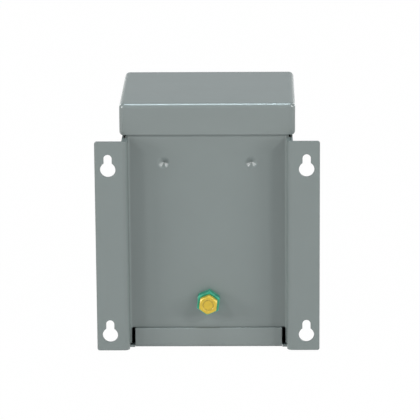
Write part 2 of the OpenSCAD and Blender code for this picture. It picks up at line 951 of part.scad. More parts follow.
module coil_former() {
    color("#d8cfb8")
        translate([0, mid_y, former_low_z])
            difference() {
                union() {
                    linear_extrude(former_h)
                        square(2 * [former_in_x + former_t, former_in_y + former_t], center = true);
                    for (z = [0, former_h - former_t])
                        translate([0, 0, z])
                            linear_extrude(former_t)
                                square(2 * [former_in_x + former_lip, former_in_y + former_lip],
                                    center = true);
                }
                translate([0, 0, -over])
                    linear_extrude(former_h + 2 * over)
                        square(2 * [former_in_x, former_in_y], center = true);
            }
}

// Total build of the layers under number n
function build_under(n) = n == 0 ? 0 : layer_builds[n - 1] + build_under(n - 1);

// One layer of the coil: number 0 lies on the former
module coil_layer(n) {
    inner = former_t + build_under(n);
    outer = inner + layer_builds[n];
    translate([0, mid_y, former_low_z + former_t])
        linear_extrude(former_h - 2 * former_t)
            difference() {
                round_rect(former_in_x + outer, former_in_y + outer, layer_corner_r + outer);
                if (n == 0)
                    square(2 * [former_in_x + inner, former_in_y + inner], center = true);
                else
                    round_rect(former_in_x + inner, former_in_y + inner, layer_corner_r + inner);
            }
}

module inner_primary_winding() {
    color("#b5652f")
        coil_layer(0);
}

module inner_insulation() {
    color("#e6d9a8")
        coil_layer(1);
}

module outer_primary_winding() {
    color("#b5652f")
        coil_layer(2);
}

module middle_insulation() {
    color("#e6d9a8")
        coil_layer(3);
}

module inner_secondary_winding() {
    color("#c4733a")
        coil_layer(4);
}

module screen_insulation() {
    color("#e6d9a8")
        coil_layer(5);
}

module outer_secondary_winding() {
    color("#c4733a")
        coil_layer(6);
}

module outer_insulation() {
    color("#e6d9a8")
        coil_layer(7);
}

// Four leads that leave the coil, pass the bushing and turn to the front
module lead_group(sy) {
    turn_z = lead_turn_z + lead_bend_r;
    for (x = lead_xs)
        translate([x, mid_y + sy * lead_off, 0]) {
            translate([0, 0, turn_z])
                cylinder(d = lead_d, h = former_low_z - turn_z);
            translate([0, -lead_bend_r, turn_z])
                rotate([0, 90, 0])
                    rotate_extrude(angle = 90)
                        translate([lead_bend_r, 0])
                            circle(d = lead_d);
            face_front(0, -lead_bend_r, lead_turn_z)
                cylinder(d = lead_d, h = lead_tail);
        }
}

module primary_leads() {
    color("#24262a")
        lead_group(-1);
}

module secondary_leads() {
    color("#8f2a24")
        lead_group(1);
}

// Space taken in the potting by the core, the coil, the clamps and the leads
module potted_parts() {
    coil_half_x = former_in_x + former_lip;
    coil_half_y = former_in_y + former_lip;
    bar_half_d = stack_half_d + clamp_t;
    arm_z = i_low_z + leg_w - clamp_inset - clamp_t;
    translate([-core_half_w, mid_y - stack_half_d, pot_low_z - over])
        cube([2 * core_half_w, stack_d, core_top_z - pot_low_z + over]);
    translate([-coil_half_x, mid_y - coil_half_y, former_low_z])
        cube([2 * coil_half_x, 2 * coil_half_y, former_h]);
    for (z = [core_low_z, i_low_z])
        translate([-core_half_w, mid_y - bar_half_d, z + clamp_inset])
            cube([2 * core_half_w, 2 * bar_half_d, leg_w - 2 * clamp_inset]);
    translate([-hanger_half_w, mid_y + stack_half_d, arm_z])
        cube([2 * hanger_half_w, hanger_reach, clamp_t]);
    translate([-hanger_half_w, mid_y + stack_half_d + hanger_reach - clamp_t,
        dimple_z - hanger_foot_h / 2])
        cube([2 * hanger_half_w, clamp_t, arm_z + clamp_t - dimple_z + hanger_foot_h / 2]);
    for (x = [-bolt_x, bolt_x], z = bolt_zs)
        face_front(x, mid_y + bar_half_d + core_nut_h, z)
            cylinder(d = core_nut_af / cos(30) + 2 * core_nut_gap,
                h = 2 * (bar_half_d + core_nut_h) + core_bolt_tail + over);
    for (sy = [-1, 1], x = lead_xs)
        translate([x, mid_y + sy * lead_off, pot_low_z - over])
            cylinder(d = lead_d + 2 * lead_clearance, h = former_low_z - pot_low_z + 2 * over);
}

module potting_compound() {
    color("#3a3a36")
        difference() {
            translate([0, 0, pot_low_z])
                linear_extrude(pot_top_z - pot_low_z)
                    room_plan();
            potted_parts();
            pair()
                translate([dimple_spacing / 2, 0, dimple_z])
                    face_front(0, panel_in_y + over, 0)
                        cylinder(r = dimple_r + lap_gap, h = dimple_depth + over + eps);
        }
}

back_bracket();
case_wrap();
bottom_tray();
lid();
wiring_cover();
cover_screws();
lid_screws();
ground_bolt();
ground_nut();
ground_star_washer();
ground_lug();
ground_inner_nut();
lead_board();
primary_bushing();
secondary_bushing();
e_laminations();
i_laminations();
top_front_clamp();
top_rear_hanger();
bottom_front_clamp();
bottom_rear_clamp();
core_bolts();
core_nuts();
coil_former();
inner_primary_winding();
inner_insulation();
outer_primary_winding();
middle_insulation();
inner_secondary_winding();
screen_insulation();
outer_secondary_winding();
outer_insulation();
primary_leads();
secondary_leads();
potting_compound();
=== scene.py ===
"""Looks and studio for an encapsulated buck boost transformer in a grey folded steel case.

The photograph shows the back of the case, so the camera stands on the wall side (+Y).
"""

from __future__ import annotations

import logging
import math
from dataclasses import dataclass, replace
from enum import Enum

import bmesh
import bpy
from mathutils import Matrix, Vector

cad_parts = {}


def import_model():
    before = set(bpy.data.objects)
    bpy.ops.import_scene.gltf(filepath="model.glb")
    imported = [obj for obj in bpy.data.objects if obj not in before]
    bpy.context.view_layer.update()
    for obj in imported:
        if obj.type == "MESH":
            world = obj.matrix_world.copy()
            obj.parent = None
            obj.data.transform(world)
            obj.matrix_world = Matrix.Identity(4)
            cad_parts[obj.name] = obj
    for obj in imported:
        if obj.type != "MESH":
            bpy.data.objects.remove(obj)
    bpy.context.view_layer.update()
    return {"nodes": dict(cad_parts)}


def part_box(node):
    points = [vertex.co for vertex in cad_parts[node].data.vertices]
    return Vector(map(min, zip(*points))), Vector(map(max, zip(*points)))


LOG = logging.getLogger("transformer")
Colour = tuple[float, float, float]
Rgba = tuple[float, float, float, float]
Socket = bpy.types.NodeSocket
MM = 0.001
WHITE: Rgba = (1.0, 1.0, 1.0, 1.0)

# Nearly all values of a noise lie between these two.
NOISE_LOW, NOISE_HIGH = 0.3, 0.7
# Weight of each finer octave of a noise.
NOISE_ROUGHNESS = 0.55
# Radians per metre in Blender's wave texture at a scale of 1.
WAVE_RATE = 20.0
# Rays that look for an edge or a corner round a point.
EDGE_SAMPLES = 6
# Cosine between the rounded and the true normal on a flat face, and on an edge that takes the full lighter tint
# (wear and painted highlight).
FLAT_COSINE, EDGE_COSINE = 0.999, 0.93
# Open share of the space round a point in a deep corner, and on a face that is out in the open.
DEEP_SHARE, OPEN_SHARE = 0.75, 0.97


def linear(red: int, green: int, blue: int) -> Colour:
    """Turn an 8-bit display colour into Blender's linear colour, by the sRGB curve.

    Args:
        red: Red from 0 to 255.
        green: Green from 0 to 255.
        blue: Blue from 0 to 255.

    Returns:
        The colour with each channel from 0 to 1, linear.
    """

    def channel(value: int) -> float:
        """Return one channel, linear."""
        v = value / 255.0
        return v / 12.92 if v <= 0.04045 else ((v + 0.055) / 1.055) ** 2.4

    return channel(red), channel(green), channel(blue)


def shifted(colour: Colour, factor: float = 1.0) -> Rgba:
    """Return a colour made lighter or darker by a factor, with alpha 1."""
    return tuple(min(1.0, c * factor) for c in colour) + (1.0,)


@dataclass(frozen=True)
class Grain:
    """A noise, and the two numbers between which it varies a finish.

    Attributes:
        size_mm: Size of a grain in millimetres.
        low: Number where the noise is low.
        high: Number where the noise is high.
        detail: Octaves of finer noise.
    """

    size_mm: float
    low: float
    high: float
    detail: float = 2.0


@dataclass(frozen=True)
class Relief:
    """How high a pattern stands and how it is shaded.

    Attributes:
        depth_mm: Height of the pattern in millimetres.
        strength: Share of the height that the shading shows.
        edge_mm: Radius in millimetres to which the shading rounds sharp edges.
    """

    depth_mm: float
    strength: float
    edge_mm: float = 0.0


@dataclass(frozen=True)
class EdgeLightening:
    """Lighter tint along the sharp outer edges, for wear and for a painted highlight.

    Attributes:
        radius_mm: Width of the lighter strip in millimetres.
        share: How much of the lighter tint shows at the edge itself.
    """

    radius_mm: float
    share: float


class Graph:
    """A material's node tree, built one node at a time."""

    def __init__(self, name: str) -> None:
        """Make an empty material with a Principled surface.

        Args:
            name: The material's name.
        """
        self.material = bpy.data.materials.new(name)
        self.material.use_nodes = True
        self.tree = self.material.node_tree
        self.tree.nodes.clear()
        self.surface = self.add("ShaderNodeBsdfPrincipled")
        self.output = self.add("ShaderNodeOutputMaterial")
        self.link(self.surface.outputs["BSDF"], self.output.inputs["Surface"])
        self.place = self.add("ShaderNodeTexCoord").outputs["Object"]

    def add(self, kind: str, inputs: dict[str, object] | None = None, **settings: object) -> bpy.types.Node:
        """Add one node.

        Args:
            kind: Blender's node type.
            inputs: Values for the node's unlinked sockets, by name.
            **settings: Attributes of the node itself.

        Returns:
            The new node.
        """
        node = self.tree.nodes.new(kind)
        for key, value in settings.items():
            setattr(node, key, value)
        for key, value in (inputs or {}).items():
            node.inputs[key].default_value = value
        return node

    def link(self, source: Socket, target: Socket) -> None:
        """Join an output to an input."""
        self.tree.links.new(source, target)

    def set(self, **values: object) -> None:
        """Set uniform values on the Principled surface; underscores stand for spaces."""
        for key, value in values.items():
            self.surface.inputs[key.replace("_", " ")].default_value = value

    def scaled(self, factors: Colour) -> Socket:
        """Return the object coordinates, scaled along X, Y and Z."""
        scale = self.add("ShaderNodeMapping", {"Scale": factors})
        self.link(self.place, scale.inputs["Vector"])
        return scale.outputs["Vector"]

    def noise(self, size_mm: float, detail: float, stretch: Colour = (1.0, 1.0, 1.0)) -> Socket:
        """Add a noise whose grains are about a given size.

        Args:
            size_mm: Size of a grain in millimetres.
            detail: Octaves of finer noise.
            stretch: Factors on the grain's frequency along X, Y and Z.

        Returns:
            The noise's grey value, from 0 to 1.
        """
        grain = self.add("ShaderNodeTexNoise", {"Scale": 1.0, "Detail": detail, "Roughness": NOISE_ROUGHNESS})
        self.link(self.scaled(tuple(s / (size_mm * MM) for s in stretch)), grain.inputs["Vector"])
        return grain.outputs["Fac"]

    def bands(self, pitch_mm: float, axis: str, bend: float) -> Socket:
        """Add parallel bands, such as sheet edges or turns of wire.

        Args:
            pitch_mm: Distance from band to band in millimetres.
            axis: X, Y or Z, the direction in which the bands follow each other.
            bend: How much noise bends the bands.

        Returns:
            The bands' grey value, from 0 to 1.
        """
        wave = self.add("ShaderNodeTexWave", {"Scale": 1.0, "Distortion": bend, "Detail": 1.0, "Detail Scale": 2.0},
                        wave_type="BANDS", bands_direction=axis, wave_profile="SIN")
        rate = 2.0 * math.pi / (pitch_mm * MM) / WAVE_RATE
        self.link(self.scaled((rate, rate, rate)), wave.inputs["Vector"])
        return wave.outputs["Fac"]

    def shaded(self, pattern: Socket, colour: Colour, dark: float, light: float) -> Socket:
        """Vary a colour from a dark to a light shade of it.

        Args:
            pattern: Grey value that picks the shade.
            colour: The linear colour.
            dark: Factor on the colour where the pattern is low.
            light: Factor on the colour where the pattern is high.

        Returns:
            The shaded colour.
        """
        node = self.add("ShaderNodeValToRGB")
        ends = zip(node.color_ramp.elements, (NOISE_LOW, NOISE_HIGH), (dark, light))
        for end, position, factor in ends:
            end.position = position
            end.color = shifted(colour, factor)
        self.link(pattern, node.inputs["Fac"])
        return node.outputs["Color"]

    def mottled(self, colour: Colour, mottle: Grain) -> Socket:
        """Vary a colour with a noise whose two numbers are factors on the colour."""
        return self.shaded(self.noise(mottle.size_mm, mottle.detail), colour, mottle.low, mottle.high)

    def ranged(self, source: Socket, start: float, end: float, low: float, high: float) -> Socket:
        """Turn one range of numbers into another.

        Args:
            source: The number.
            start: Value of the source that becomes the low number.
            end: Value of the source that becomes the high number.
            low: First number of the result.
            high: Last number of the result.

        Returns:
            The new number.
        """
        node = self.add("ShaderNodeMapRange", {"From Min": start, "From Max": end, "To Min": low, "To Max": high})
        self.link(source, node.inputs["Value"])
        return node.outputs["Result"]

    # Painted highlight and wear: a lighter tint is mixed into the colour along the sharp edges.
    def lighten_edges(self, body: Socket, edge_tint: Colour, edge_lightening: EdgeLightening) -> Socket:
        """Lighten a colour along the sharp outer edges, for wear and for a painted highlight.

        Args:
            body: The colour of the faces.
            edge_tint: Linear colour of an edge at full strength: rubbed metal on some finishes, a painted highlight
                on others.
            edge_lightening: How wide and how strong the lighter edge is.

        Returns:
            The mixed colour.
        """
        rounded = self.add("ShaderNodeBevel", {"Radius": edge_lightening.radius_mm * MM}, samples=EDGE_SAMPLES)
        true = self.add("ShaderNodeNewGeometry")
        cosine = self.add("ShaderNodeVectorMath", operation="DOT_PRODUCT")
        self.link(rounded.outputs["Normal"], cosine.inputs[0])
        self.link(true.outputs["Normal"], cosine.inputs[1])
        mix = self.add("ShaderNodeMix", data_type="RGBA")
        mix.inputs["B"].default_value = shifted(edge_tint)
        self.link(self.ranged(cosine.outputs["Value"], FLAT_COSINE, EDGE_COSINE, 0.0, edge_lightening.share),
                  mix.inputs["Factor"])
        self.link(body, mix.inputs["A"])
        return mix.outputs["Result"]

    # Painted shade: an ambient occlusion node darkens the colour in corners and dishes.
    def shade_recesses(self, body: Socket, reach_mm: float, recess_shade: float) -> Socket:
        """Darken a colour in the corners and dishes, as painted shade.

        Args:
            body: The colour of the open faces.
            reach_mm: How far from a wall the painted shade reaches, in millimetres.
            recess_shade: Part of the colour that is left in a deep corner under the painted shade.

        Returns:
            The darkened colour.
        """
        hollow = self.add("ShaderNodeAmbientOcclusion", {"Distance": reach_mm * MM}, samples=EDGE_SAMPLES)
        mix = self.add("ShaderNodeMix", {"Factor": 1.0}, data_type="RGBA", blend_type="MULTIPLY")
        self.link(body, mix.inputs["A"])
        self.link(self.ranged(hollow.outputs["AO"], DEEP_SHARE, OPEN_SHARE, recess_shade, 1.0), mix.inputs["B"])
        return mix.outputs["Result"]

    def skin(self, colour: Socket, roughness: float, haze: Grain, height: Socket,
             relief: Relief) -> bpy.types.Material:
        """Give the surface its colour, roughness and relief.

        Args:
            colour: The colour.
            roughness: Roughness that the haze shifts up and down.
            haze: Noise whose two numbers are added to the roughness.
            height: Grey value of the relief.
            relief: How high the relief is and how it is shaded.

        Returns:
            The finished material.
        """
        self.link(colour, self.surface.inputs["Base Color"])
        patches = self.noise(haze.size_mm, haze.detail)
        self.link(self.ranged(patches, NOISE_LOW, NOISE_HIGH, roughness + haze.low, roughness + haze.high),
                  self.surface.inputs["Roughness"])
        bump = self.add("ShaderNodeBump", {"Distance": relief.depth_mm * MM, "Strength": relief.strength})
        self.link(height, bump.inputs["Height"])
        if relief.edge_mm > 0.0:
            rounded = self.add("ShaderNodeBevel", {"Radius": relief.edge_mm * MM}, samples=EDGE_SAMPLES)
            self.link(rounded.outputs["Normal"], bump.inputs["Normal"])
        self.link(bump.outputs["Normal"], self.surface.inputs["Normal"])
        return self.material


@dataclass(frozen=True)
class SatinEnamel:
    """Baked grey enamel on folded sheet, with a slight orange peel.

    Attributes:
        name: Material name.
        colour: Linear colour of the paint.
        gloss: Specular level of a face that is seen squarely.
        grazing_gloss: Specular level of a face that is seen at a low angle.
        glance: Where the gloss starts to fall and where it has fallen, from 0, square, to 1, edge on.
        cloud: Faint clouds in the colour.
        roughness: Mean roughness of the paint's skin.
        haze: Patches of smoother and rougher skin.
        peel_mm: Size of the orange peel's cells in millimetres.
        peel_detail: Octaves of finer cells.
        peel: Height and shading of the orange peel, and the radius of the paint over a cut edge.
    """

    name: str = "grey_enamel"
    colour: Colour = linear(127, 135, 133)
    gloss: float = 0.6
    grazing_gloss: float = 0.06
    glance: tuple[float, float] = (0.45, 0.72)
    cloud: Grain = Grain(38.0, 0.985, 1.015, 3.0)
    roughness: float = 0.24
    haze: Grain = Grain(9.0, -0.03, 0.03, 3.0)
    peel_mm: float = 3.5
    peel_detail: float = 1.0
    peel: Relief = Relief(0.006, 0.25, 0.7)

    def material(self) -> bpy.types.Material:
        """Build the paint."""
        g = Graph(self.name)
        g.set(Metallic=0.0, IOR=1.5)
        facing = g.add("ShaderNodeLayerWeight", {"Blend": 0.5}).outputs["Facing"]
        g.link(g.ranged(facing, *self.glance, self.gloss, self.grazing_gloss),
               g.surface.inputs["Specular IOR Level"])
        return g.skin(g.mottled(self.colour, self.cloud), self.roughness, self.haze,
                      g.noise(self.peel_mm, self.peel_detail), self.peel)


class PlateTint(Enum):
    """Tints of zinc plating, as a display colour and a roughness."""

    BRIGHT = ((176, 180, 180), 0.34)
    YELLOW = ((213, 180, 50), 0.36)


@dataclass(frozen=True)
class PlatedSteel:
    """Zinc-plated steel with a mottled passivation, lighter edges and painted shade in the recesses.

    Attributes:
        name: Material name.
        tint: Which plating it is.
        metallic: Share of the metal's own reflection.
        edge_wear_and_highlight: Linear colour of the edges, for rubbed plating and a painted highlight.
        recess_shade: Part of the colour that is left in the recesses under the painted shade.
        recess_shade_mm: How far from a wall the painted shade reaches, in millimetres.
        edge_lightening: Width and strength of the lighter edges.
        mottle: Patches of the passivation.
        haze: Patches of smoother and rougher plating.
        pit_mm: Size of the pits in millimetres.
        pit_detail: Octaves of finer pits.
        pits: Depth and shading of the pits, and the radius of an edge.
    """

    name: str
    tint: PlateTint
    metallic: float = 0.75
    edge_wear_and_highlight: Colour = linear(198, 202, 202)
    recess_shade: float = 0.8
    recess_shade_mm: float = 1.6
    edge_lightening: EdgeLightening = EdgeLightening(0.3, 0.3)
    mottle: Grain = Grain(2.6, 0.9, 1.08, 3.0)
    haze: Grain = Grain(1.2, -0.06, 0.08)
    pit_mm: float = 0.5
    pit_detail: float = 2.0
    pits: Relief = Relief(0.02, 0.3, 0.25)

    def material(self) -> bpy.types.Material:
        """Build the plating."""
        display, roughness = self.tint.value
        g = Graph(self.name)
        g.set(Metallic=self.metallic, IOR=1.6)
        # Lighter edges for wear and a painted highlight, then painted shade in the recesses.
        body = g.lighten_edges(g.mottled(linear(*display), self.mottle), self.edge_wear_and_highlight, self.edge_lightening)
        return g.skin(g.shade_recesses(body, self.recess_shade_mm, self.recess_shade), roughness, self.haze,
                      g.noise(self.pit_mm, self.pit_detail), self.pits)


@dataclass(frozen=True)
class DyedPaint:
    """Thin dyed lacquer over a steel nut, with a painted highlight along its edges.

    Attributes:
        name: Material name.
        colour: Linear colour of the dye.
        edge_highlight: Linear colour of the painted highlight along the edges.
        edge_lightening: Width and strength of the painted highlight along the edges.
        mottle: Patches of the dye.
        roughness: Mean roughness of the lacquer.
        haze: Patches of smoother and rougher lacquer.
        ripple_mm: Size of the lacquer's ripples in millimetres.
        ripple_detail: Octaves of finer ripples.
        ripples: Height and shading of the ripples, and the radius of an edge.
    """

    name: str = "green_paint"
    colour: Colour = linear(42, 158, 126)
    edge_highlight: Colour = linear(120, 200, 176)
    edge_lightening: EdgeLightening = EdgeLightening(0.6, 0.8)
    mottle: Grain = Grain(3.0, 0.85, 1.1, 3.0)
    roughness: float = 0.34
    haze: Grain = Grain(1.5, -0.06, 0.06)
    ripple_mm: float = 0.8
    ripple_detail: float = 2.0
    ripples: Relief = Relief(0.02, 0.3, 0.3)

    def material(self) -> bpy.types.Material:
        """Build the lacquer."""
        g = Graph(self.name)
        g.set(Metallic=0.25, IOR=1.5)
        # Painted highlight: a lighter green is mixed in along the nut's edges.
        body = g.lighten_edges(g.mottled(self.colour, self.mottle), self.edge_highlight, self.edge_lightening)
        return g.skin(body, self.roughness, self.haze, g.noise(self.ripple_mm, self.ripple_detail), self.ripples)


@dataclass(frozen=True)
class LaminatedSteel:
    """Stack of varnished laminations, seen as fine lines along the stack.

    Attributes:
        name: Material name.
        colour: Linear colour of the sheets.
        sheet_mm: Thickness of a sheet in millimetres.
        bend: How uneven the sheets' edges are.
        dark: Factor on the colour between two sheets.
        light: Factor on the colour of a sheet's edge.
        roughness: Mean roughness of the varnish.
        haze: Patches of smoother and rougher varnish.
        edges: Height and shading of the sheets' edges.
    """

    name: str = "core_steel"
    colour: Colour = linear(98, 102, 108)
    sheet_mm: float = 0.5
    bend: float = 0.2
    dark: float = 0.5
    light: float = 1.2
    roughness: float = 0.45
    haze: Grain = Grain(4.0, -0.1, 0.1)
    edges: Relief = Relief(0.08, 0.5)

    def material(self) -> bpy.types.Material:
        """Build the stack's edge pattern."""
        g = Graph(self.name)
        g.set(Metallic=0.7)
        sheets = g.bands(self.sheet_mm, "Y", self.bend)
        return g.skin(g.shaded(sheets, self.colour, self.dark, self.light), self.roughness, self.haze,
                      sheets, self.edges)


@dataclass(frozen=True)
class VarnishedWire:
    """Layer of enamelled wire turns laid side by side.

    Attributes:
        name: Material name.
        colour: Linear colour of the varnished copper.
        wire_mm: Thickness of the wire in millimetres.
        bend: How uneven the turns lie.
        dark: Factor on the colour between two turns.
        light: Factor on the colour on top of a turn.
        roughness: Roughness of the smoothest turns.
        haze: Patches of rougher varnish.
        turns: Height and shading of the turns.
    """

    name: str = "enamelled_copper"
    colour: Colour = linear(168, 84, 40)
    wire_mm: float = 1.4
    bend: float = 0.15
    dark: float = 0.35
    light: float = 1.2
    roughness: float = 0.25
    haze: Grain = Grain(3.0, 0.0, 0.15)
    turns: Relief = Relief(0.4, 0.7)

    def material(self) -> bpy.types.Material:
        """Build the turns."""
        g = Graph(self.name)
        g.set(Metallic=0.6, Coat_Weight=0.6, Coat_Roughness=0.15)
        wires = g.bands(self.wire_mm, "Z", self.bend)
        return g.skin(g.shaded(wires, self.colour, self.dark, self.light), self.roughness, self.haze,
                      wires, self.turns)


class Fibre(Enum):
    """Sheet and moulded insulation, as a display colour, a roughness and a grain in millimetres."""

    BOARD = ((122, 88, 56), 0.7, 1.6)
    FORMER = ((214, 204, 180), 0.75, 2.2)
    PAPER = ((222, 208, 160), 0.55, 4.0)
    RUBBER = ((34, 34, 34), 0.6, 0.9)
    BLACK_WIRE = ((36, 38, 42), 0.45, 0.8)
    RED_WIRE = ((150, 40, 34), 0.45, 0.8)
    RESIN = ((58, 57, 53), 0.5, 1.2)


@dataclass(frozen=True)
class Insulation:
    """A board, paper, rubber or resin insulator with its own grain.

    Attributes:
        name: Material name.
        kind: Which insulator it is.
        detail: Octaves of finer grain.
        dark: Factor on the colour in the grain's dark specks.
        light: Factor on the colour in the grain's light specks.
        haze_grains: Size of the patches of roughness, in grains.
        haze: How far the roughness goes up and down.
        specks: Height and shading of the grain.
    """

    name: str
    kind: Fibre
    detail: float = 4.0
    dark: float = 0.75
    light: float = 1.15
    haze_grains: float = 2.5
    haze: float = 0.08
    specks: Relief = Relief(0.06, 0.4)

    def material(self) -> bpy.types.Material:
        """Build the insulator."""
        display, roughness, grain_mm = self.kind.value
        g = Graph(self.name)
        g.set(Metallic=0.0)
        speck = g.noise(grain_mm, self.detail)
        return g.skin(g.shaded(speck, linear(*display), self.dark, self.light), roughness,
                      Grain(grain_mm * self.haze_grains, -self.haze, self.haze), speck, self.specks)


@dataclass(frozen=True)
class BareMetal:
    """Rolled metal with fine rolling lines along X.

    Attributes:
        name: Material name.
        colour: Linear colour of the metal.
        roughness: Roughness that the haze shifts up and down.
        line_mm: Width of a rolling line in millimetres.
        line_detail: Octaves of finer lines.
        stretch: Factors on the lines' frequency along X, Y and Z.
        dark: Factor on the colour in a line.
        light: Factor on the colour between the lines.
        haze: Patches of smoother and rougher metal.
        lines: Depth and shading of the lines.
    """

    name: str
    colour: Colour
    roughness: float = 0.4
    line_mm: float = 0.5
    line_detail: float = 2.0
    stretch: Colour = (0.05, 1.0, 1.0)
    dark: float = 0.85
    light: float = 1.1
    haze: Grain = Grain(6.0, -0.05, 0.1)
    lines: Relief = Relief(0.01, 0.3)

    def material(self) -> bpy.types.Material:
        """Build the metal."""
        g = Graph(self.name)
        g.set(Metallic=0.9)
        rolled = g.noise(self.line_mm, self.line_detail, self.stretch)
        return g.skin(g.shaded(rolled, self.colour, self.dark, self.light), self.roughness, self.haze,
                      rolled, self.lines)


@dataclass
class SubAssembly:
    """CAD nodes that are dressed together.

    Attributes:
        nodes: The object of every CAD node, by its name.
    """

    nodes: dict[str, bpy.types.Object]

    def dress(self, material: bpy.types.Material, *names: str) -> None:
        """Give some of the nodes their finish.

        Args:
            material: The finish.
            *names: Names of the nodes that wear it.
        """
        for name in names:
            mesh = self.nodes[name].data
            mesh.materials.clear()
            mesh.materials.append(material)
            LOG.info("%s wears %s", name, material.name)


@dataclass
class SteelCase(SubAssembly):
    """Bracket, wrap, tray, lid and wiring cover, all enamelled after folding.

    Attributes:
        finish: Enamel of the sheets.
        rounded: The same enamel where it has run thick over the cut edges.
    """

    finish: SatinEnamel = SatinEnamel()
    rounded: SatinEnamel = SatinEnamel("grey_enamel_thick_edge", linear(126, 134, 132), gloss=0.8,
                                       peel=replace(SatinEnamel.peel, edge_mm=1.3))

    def build(self) -> None:
        """Paint every sheet."""
        self.dress(self.finish.material(), "back_bracket", "case_wrap", "wiring_cover")
        self.dress(self.rounded.material(), "bottom_tray", "lid")


@dataclass
class Fasteners(SubAssembly):
    """Ground bolt with its nuts, washer and lug, and the hex washer-head screws.

    Attributes:
        screws: Plating of the screws, the washer and the core's bolts.
        bolt: Plating of the ground bolt and its inner nut.
        nut: Lacquer of the ground nut.
        lug: Metal of the ground lug.
    """

    screws: PlatedSteel = PlatedSteel("zinc_plate", PlateTint.BRIGHT)
    # On the yellow bolt the cream edge colour is a painted highlight on the chamfer, and the low recess share a
    # painted shade in its dish and corners.
    bolt: PlatedSteel = PlatedSteel("yellow_zinc", PlateTint.YELLOW, metallic=0.15, edge_wear_and_highlight=linear(240, 234, 186),
                                    recess_shade=0.4)
    nut: DyedPaint = DyedPaint()
    lug: BareMetal = BareMetal("copper", linear(196, 132, 84), roughness=0.35)

    def build(self) -> None:
        """Plate or lacquer each fastener."""
        self.dress(self.screws.material(),
                   "cover_screws", "lid_screws", "core_bolts", "core_nuts", "ground_star_washer")
        self.dress(self.bolt.material(), "ground_bolt", "ground_inner_nut")
        self.dress(self.nut.material(), "ground_nut")
        self.dress(self.lug.material(), "ground_lug")


@dataclass
class CoreAndCoil(SubAssembly):
    """The potted core, its clamps and the layers of the coil."""

    def build(self) -> None:
        """Dress the core, the clamps, the coil and the potting."""
        self.dress(LaminatedSteel().material(), "e_laminations", "i_laminations")
        self.dress(BareMetal("bare_steel", linear(96, 100, 104)).material(),
                   "top_front_clamp", "top_rear_hanger", "bottom_front_clamp", "bottom_rear_clamp")
        self.dress(VarnishedWire().material(), "inner_primary_winding", "outer_primary_winding",
                   "inner_secondary_winding", "outer_secondary_winding")
        self.dress(Insulation("insulation_paper", Fibre.PAPER).material(),
                   "inner_insulation", "middle_insulation", "screen_insulation", "outer_insulation")
        self.dress(Insulation("former_board", Fibre.FORMER).material(), "coil_former")
        self.dress(Insulation("potting", Fibre.RESIN).material(), "potting_compound")


@dataclass
class WiringRoom(SubAssembly):
    """Lead board, bushings and the eight leads that end in the wiring room."""

    def build(self) -> None:
        """Dress the board, the bushings and the leads."""
        self.dress(Insulation("fibre_board", Fibre.BOARD).material(), "lead_board")
        self.dress(Insulation("black_rubber", Fibre.RUBBER).material(), "primary_bushing", "secondary_bushing")
        self.dress(Insulation("black_insulation", Fibre.BLACK_WIRE).material(), "primary_leads")
        self.dress(Insulation("red_insulation", Fibre.RED_WIRE).material(), "secondary_leads")


@dataclass(frozen=True)
class Softbox:
    """A soft rectangular lamp that is aimed at the middle of the case.

    Attributes:
        name: The lamp's name.
        azimuth: Degrees to the right of the camera's side, as the camera sees it.
        elevation: Degrees above the horizon.
        width: Width of the softbox in metres.
        height: Height of the softbox in metres.
        power: Watts.
        colour: Colour of the light.
        distance: Metres from the middle of the case.
        aim_mm: Height of the case's middle in millimetres.
    """

    name: str
    azimuth: float
    elevation: float
    width: float
    height: float
    power: float
    colour: Colour = (1.0, 1.0, 1.0)
    distance: float = 2.6
    aim_mm: float = 110.0

    def build(self) -> None:
        """Hang the lamp."""
        data = bpy.data.lights.new(self.name, "AREA")
        data.shape = "RECTANGLE"
        data.size, data.size_y = self.width, self.height
        data.energy = self.power
        data.color = self.colour
        lamp = bpy.data.objects.new(self.name, data)
        a, e = math.radians(self.azimuth), math.radians(self.elevation)
        away = Vector((-math.sin(a) * math.cos(e), math.cos(a) * math.cos(e), math.sin(e)))
        lamp.location = Vector((0.0, 0.0, self.aim_mm * MM)) + away * self.distance
        lamp.rotation_mode = "QUATERNION"
        lamp.rotation_quaternion = (-away).to_track_quat("-Z", "Y")
        bpy.context.scene.collection.objects.link(lamp)


def mix_by_ray(tree: bpy.types.NodeTree, lit: Socket, white: Socket, share: float, target: Socket) -> None:
    """Show plain white to camera, glossy and transmission rays, and the lit shader to the rest.

    Args:
        tree: The node tree.
        lit: Shader that lights, or is lit by, the scene.
        white: Plain white shader.
        share: Share of the plain white.
        target: Input that takes the mix.
    """
    path = tree.nodes.new("ShaderNodeLightPath")
    seen = path.outputs["Is Camera Ray"]
    for ray in ("Is Glossy Ray", "Is Transmission Ray"):
        either = tree.nodes.new("ShaderNodeMath")
        either.operation = "MAXIMUM"
        tree.links.new(seen, either.inputs[0])
        tree.links.new(path.outputs[ray], either.inputs[1])
        seen = either.outputs["Value"]
    part = tree.nodes.new("ShaderNodeMath")
    part.operation = "MULTIPLY"
    part.inputs[1].default_value = share
    tree.links.new(seen, part.inputs[0])
    mix = tree.nodes.new("ShaderNodeMixShader")
    tree.links.new(part.outputs["Value"], mix.inputs["Fac"])
    tree.links.new(lit, mix.inputs[1])
    tree.links.new(white, mix.inputs[2])
    tree.links.new(mix.outputs["Shader"], target)


